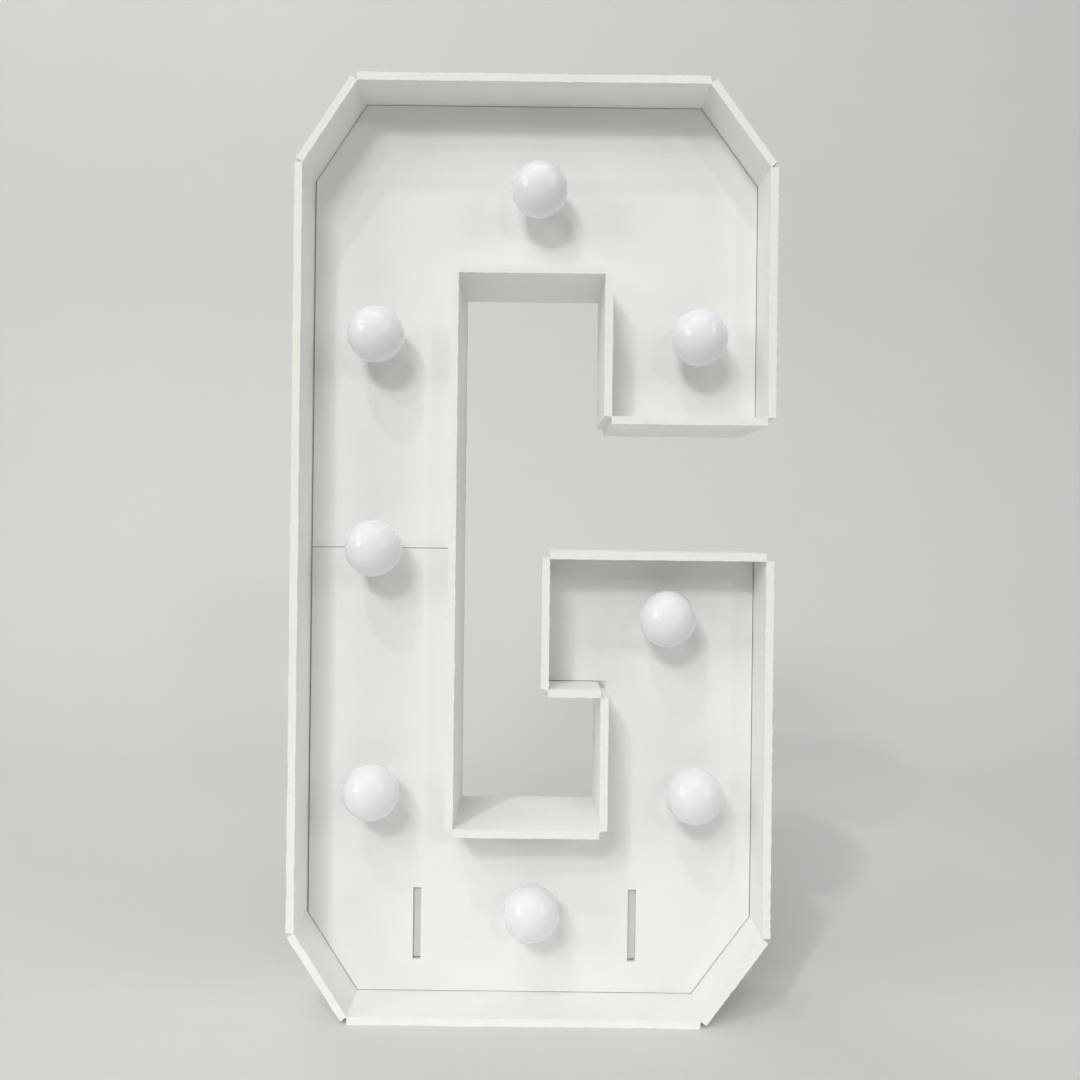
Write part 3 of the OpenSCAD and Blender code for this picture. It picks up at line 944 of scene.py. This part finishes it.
# Wire inlets: outer radius, bore, and where they start inside the holder's body
INLET_R = 2.8 * MM
INLET_BORE_R = 1.3 * MM
INLET_START = 8.6 * MM
INLET_SIDES = 32


def holder_piece(name):
    """Holder behind the panel: snout, flange, plain body, closed end and two wire inlets."""
    front, back = holder_low.y, holder_high.y
    panel_back = front + SNOUT_L
    bore_end = back - END_WALL
    body = turned(
        "holder_body",
        [
            (bore_end, BORE_END_R),
            (bore_end, HOLDER_BORE_R),
            (front + FINE_EDGE, HOLDER_BORE_R),
            (front, HOLDER_BORE_R + FINE_EDGE),
            (front, SNOUT_R - FINE_EDGE),
            (front + FINE_EDGE, SNOUT_R),
            (panel_back, SNOUT_R),
            (panel_back, FLANGE_R - BROKEN_EDGE),
            (panel_back + BROKEN_EDGE, FLANGE_R),
            (panel_back + FLANGE_SIDE, FLANGE_R),
            (panel_back + FLANGE_T, FLANGE_R - FLANGE_BEVEL),
            (panel_back + FLANGE_T, BODY_R + FILLET),
            (panel_back + FLANGE_T + FILLET, BODY_R),
            (back - BODY_END_ROUND, BODY_R),
            (back - FINE_EDGE, BODY_R - FINE_EDGE),
            (back, BODY_R - BODY_END_ROUND),
            (back, DISH_R),
            (back - DISH_DEPTH, DISH_FLOOR_R),
        ],
    )
    inlets = [wire_inlet(f"inlet_{turn}", turn, bore_end - INLET_R) for turn in (1, -1)]
    made = united([body, *inlets], name)
    made.data.materials.append(HOLDER_PLASTIC)
    return made


def wire_inlet(name, turn, y):
    """Short open tube with a rounded lip, where a wire enters the holder."""
    outer = holder_high.x - FIRST.x
    deselect()
    bpy.ops.mesh.primitive_circle_add(
        vertices=INLET_SIDES,
        radius=INLET_R,
        fill_type="NGON",
        location=(FIRST.x + turn * INLET_START, y, FIRST.z),
        rotation=SIDE_ON,
    )
    piece = bpy.context.object
    edit()
    bpy.ops.mesh.select_all(action="SELECT")
    reach, radius = INLET_START, INLET_R
    for next_reach, next_radius in (
        (outer - BROKEN_EDGE, INLET_R),
        (outer, INLET_R - BROKEN_EDGE),
        (outer, INLET_BORE_R + FINE_EDGE),
        (outer - FINE_EDGE, INLET_BORE_R),
        (INLET_START + BROKEN_EDGE, INLET_BORE_R),
    ):
        bpy.ops.mesh.extrude_region_move(
            TRANSFORM_OT_translate={"value": (turn * (next_reach - reach), 0, 0)}
        )
        ratio = next_radius / radius
        bpy.ops.transform.resize(
            value=(1, ratio, ratio), center_override=(FIRST.x + turn * next_reach, y, FIRST.z)
        )
        reach, radius = next_reach, next_radius
    leave()
    return settle(piece, name)


def lamp_pieces():
    """One set of lamp parts, copied to every lamp."""
    first = {
        "globe": globe_piece("opal_globe_1"),
        "base": bulb_base_piece("screw_base_1"),
        "seal": seal_piece("soft_seal_1"),
        "holder": holder_piece("socket_holder_1"),
    }
    for number in LAMP_NUMBERS:
        shift = lamp_axis(number) - FIRST
        made = first
        if number > 1:
            made = {
                part: copied(piece, piece.name.replace("_1", f"_{number}"), shift)
                for part, piece in first.items()
            }
        hand_over(made["globe"], f"bulb_{number}", "opal", f"globe_{number}")
        hand_over(made["base"], f"bulb_{number}", "lamp_plastic", f"bulb_base_{number}")
        hand_over(made["seal"], f"seal_{number}", "seal", f"seal_ring_{number}")
        hand_over(made["holder"], "letter", "holder_plastic", f"lamp_holder_{number}")


lamp_pieces()

# Parts that keep their solids and get a finish
KEPT = {f"led_board_{number}": LIGHT_SOURCE for number in LAMP_NUMBERS}
KEPT["battery_contacts"] = PLATED
KEPT["mounting_tape"] = TAPE_FOAM
for node_name, finish in KEPT.items():
    kept = frame["nodes"][node_name]
    kept.data.materials.clear()
    kept.data.materials.append(finish)


# Battery box, cover, cells and switch
def moulded(node, name, body, slot, finish, edge):
    """Moulded part with its edges rounded as they leave the tool."""
    piece = copy_of_solid(node, name)
    soften(piece, edge)
    apply_modifier(piece, "WEIGHTED_NORMAL", keep_sharp=True)
    piece.data.materials.append(finish)
    hand_over(piece, body, slot, node)


moulded("battery_box", "battery_tray", "letter", "box_plastic", BOX_PLASTIC, 0.25 * MM)
moulded("battery_cover", "sliding_cover", "cover", "box_plastic", BOX_PLASTIC, 0.2 * MM)
moulded("battery_cells", "dry_cells", "letter", "cell_jacket", CELL_JACKET, 0.15 * MM)
moulded("switch_body", "switch_case", "letter", "switch_plastic", SWITCH_PLASTIC, 0.2 * MM)
moulded("switch_slider", "switch_knob", "switch", "switch_plastic", SWITCH_PLASTIC, 0.25 * MM)


# Floor and backdrop in one sweep, which bounces light as a pale table with a dimmer room round it
FLOOR_SIZE = 8.0
SWEEP_BACK = 1.6
SWEEP_RISE = 4.0
SWEEP_ROUND = 0.9
SWEEP_SEGMENTS = 24
TABLE_R = 0.5
TABLE_FADE_R = 1.6 * TABLE_R
BEHIND_SHARE = 0.4
NEAR_FLOOR = (0.92, 0.92, 0.91, 1)
FAR_FLOOR = (0.32, 0.32, 0.315, 1)


def seen_rays(tree):
    """1 for rays that show a surface directly, in a mirror or through glass,
    and 0 for its bounced light."""
    ray = add_node(tree, "ShaderNodeLightPath").outputs
    seen = math_node(tree, "MAXIMUM", ray["Is Camera Ray"], ray["Is Transmission Ray"])
    return math_node(tree, "MAXIMUM", seen, ray["Is Glossy Ray"])


def floor_finish():
    """Plain pale paper; its bounced light falls off away from the letter, less so behind it."""
    made = Finish("floor_paper", IOR=1.3, Roughness=0.85)
    tone = made.group(
        MOTTLE,
        Color=(0.69, 0.69, 0.684, 1),
        Shade=(0.67, 0.67, 0.664, 1),
        Scale=3.0,
        Amount=0.6,
    )
    reach = add_node(made.tree, "ShaderNodeVectorMath", operation="LENGTH")
    link(made.tree, made.place, reach.inputs[0])
    ring = ranged(made.tree, reach.outputs["Value"], TABLE_R, TABLE_FADE_R, 0.0, 1.0)
    split = add_node(made.tree, "ShaderNodeSeparateXYZ")
    link(made.tree, made.place, split.inputs[0])
    in_front = ranged(made.tree, split.outputs["Y"], BACK_Y, BACK_Y + TABLE_R, 1.0, BEHIND_SHARE)
    far = math_node(made.tree, "MULTIPLY", ring, in_front)
    unseen = math_node(made.tree, "SUBTRACT", 1.0, seen_rays(made.tree))
    bounced = mixed_colour(made.tree, far, NEAR_FLOOR, FAR_FLOOR)
    made.feed("Base Color", mixed_colour(made.tree, unseen, tone["Color"], bounced))
    made.feed("Normal", made.bump(made.group(GRAIN, Scale=900.0)["Height"], 0.03 * MM))
    return made.material


def floor_sweep():
    deselect()
    bpy.ops.mesh.primitive_plane_add(
        size=FLOOR_SIZE, location=(0, SWEEP_BACK - FLOOR_SIZE / 2, 0)
    )
    sweep = bpy.context.object
    sweep.name = "floor_sweep"
    bpy.ops.object.transform_apply(location=True, rotation=True, scale=True)
    pick_edges(sweep, lambda a, b: a.y > SWEEP_BACK - MM and b.y > SWEEP_BACK - MM)
    bpy.ops.mesh.extrude_region_move(TRANSFORM_OT_translate={"value": (0, 0, SWEEP_RISE)})
    pick_edges(sweep, lambda a, b: all(p.y > SWEEP_BACK - MM and p.z < MM for p in (a, b)))
    bpy.ops.mesh.bevel(offset=SWEEP_ROUND, segments=SWEEP_SEGMENTS)
    leave()
    smooth(sweep)
    sweep.data.materials.append(floor_finish())


floor_sweep()


# Light, in metres and watts: a soft window high in front, wide soft lamps at the sides and above,
# three small lamps for the globes' longer shadows, and a row of lamps that shows in their gloss
AIM = Vector((0, 0, 0.3))
LAMP_TINT = (1.0, 0.985, 0.965)
WIDE = (1.5, 1.5)
SMALL = (0.2, 0.2)


def soft_light(name, place, size, power, in_gloss=True):
    data = bpy.data.lights.new(name, "AREA")
    data.shape = "RECTANGLE"
    data.size, data.size_y = size
    data.energy = power
    data.color = LAMP_TINT
    lamp = bpy.data.objects.new(name, data)
    scene.collection.objects.link(lamp)
    lamp.visible_glossy = in_gloss
    lamp.location = place
    lamp.rotation_euler = (AIM - lamp.location).to_track_quat("-Z", "Y").to_euler()


soft_light("window", (-1.2, -4.4, 2.7), (1.3, 0.6), 71, in_gloss=False)
soft_light("ceiling", (0, -0.6, 3.3), (2.4, 1.6), 17)
soft_light("rear_fill", (-0.9, 1.2, 2.6), (1.4, 0.9), 10)
soft_light("side_left", (-3.6, -2.4, 1.5), WIDE, 31)
soft_light("side_right", (3.2, -2.6, 1.5), WIDE, 18)
soft_light("far_left", (-4.4, -1.3, 3.6), WIDE, 24)
soft_light("far_right", (3.9, -2.1, 3.8), WIDE, 17)
soft_light("upper_left", (-2.16, -4.8, 4.1), SMALL, 35, in_gloss=False)
soft_light("high_front", (-1.32, -3.3, 5.2), SMALL, 37, in_gloss=False)
soft_light("right_front", (2.45, -6.6, 2.7), SMALL, 30, in_gloss=False)
ROW_X = (-4.6, -3.8, -3.1, -2.5, -1.9, -1.3, -0.4, 1.0, 2.0)
ROW_Y = -4.0
ROW_HEIGHTS = (4.3, 4.7)
ROW_SIZE = (0.55, 0.3)
ROW_POWER = 3.4
for number, row_x in enumerate(ROW_X):
    row_z = ROW_HEIGHTS[number % 2]
    soft_light(f"row_lamp_{number + 1}", (row_x, ROW_Y, row_z), ROW_SIZE, ROW_POWER)

WORLD_TINT = (0.985, 1.0, 0.985, 1)
WORLD_LIGHT = 0.05
BACKDROP_LIGHT = 0.64


def studio_world():
    """Dim even light all round, which the camera and reflections see as a pale backdrop."""
    world = bpy.data.worlds.new("studio")
    scene.world = world
    world.use_nodes = True
    tree = world.node_tree
    background = tree.nodes["Background"]
    background.inputs["Color"].default_value = WORLD_TINT
    strength = ranged(tree, seen_rays(tree), 0.0, 1.0, WORLD_LIGHT, BACKDROP_LIGHT)
    link(tree, strength, background.inputs["Strength"])


studio_world()

# Camera at the photograph's place, level and a little rolled; sensor and lens in millimetres
CAMERA_PLACE = (3.5 * MM, -736 * MM, 317.4 * MM)
CAMERA_ROLL = math.radians(-0.66)
SENSOR_W = 36
LENS = 36
SHIFT_X, SHIFT_Y = 0.0019, -0.0083
camera_data = bpy.data.cameras.new("camera")
camera_data.sensor_width = SENSOR_W
camera_data.lens = LENS
camera_data.shift_x = SHIFT_X
camera_data.shift_y = SHIFT_Y
camera = bpy.data.objects.new("camera", camera_data)
scene.collection.objects.link(camera)
camera.location = CAMERA_PLACE
camera.rotation_euler = (math.pi / 2, CAMERA_ROLL, 0)
scene.camera = camera
scene.view_settings.view_transform = "Standard"
